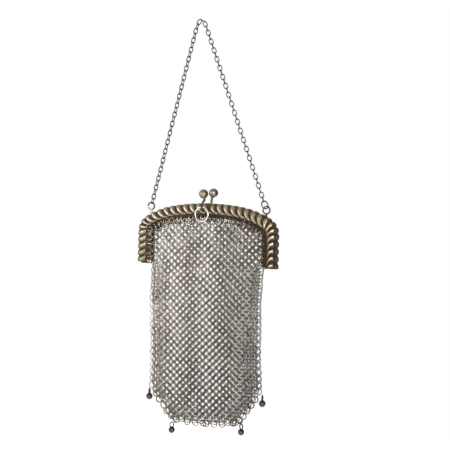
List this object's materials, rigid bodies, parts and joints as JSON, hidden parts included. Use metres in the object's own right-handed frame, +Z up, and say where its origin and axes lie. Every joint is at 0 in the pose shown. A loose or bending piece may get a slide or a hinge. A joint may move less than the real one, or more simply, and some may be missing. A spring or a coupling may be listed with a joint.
{
  "type": "metal mesh purse",
  "caption": "Ring-mesh purse on a gadrooned two-part frame with a kiss clasp, a wire ring, corner ball drops and a link handle chain.",
  "frame": {"origin": "where the purse hangs: the top of the handle chain, on the middle line of its links", "axes": "+Z up, front toward -Y, +X to the right seen from the front"},
  "size_m": [0.0875, 0.0122, 0.2389],
  "materials": {
    "frame_silver": "tarnished silver, bright on the ridges and brown in the hollows",
    "wire_silver": "worn silver wire",
    "ring_mesh": "dull silver ring mesh",
    "drop_silver": "darkened silver"
  },
  "bodies": {
    "purse": {"frame_front": "frame_silver", "frame_back": "frame_silver", "hinge_pin_left": "frame_silver", "hinge_pin_right": "frame_silver", "clasp_knob_front": "frame_silver", "clasp_knob_back": "frame_silver", "jump_ring_right": "wire_silver", "chain_left": "wire_silver", "chain_right": "wire_silver", "mesh_bag": "ring_mesh", "drop_1": "drop_silver", "drop_2": "drop_silver", "drop_3": "drop_silver", "drop_4": "drop_silver"},
    "ring": {"front_ring": "wire_silver"}
  },
  "joints": [
    {"name": "ring_swing", "type": "hinge", "parent": "purse", "child": "ring", "pos_m": [0.00209, -0.00376, -0.10678], "axis": [-0.9997, 0, 0.0262], "range_deg": [0, 150]}
  ]
}
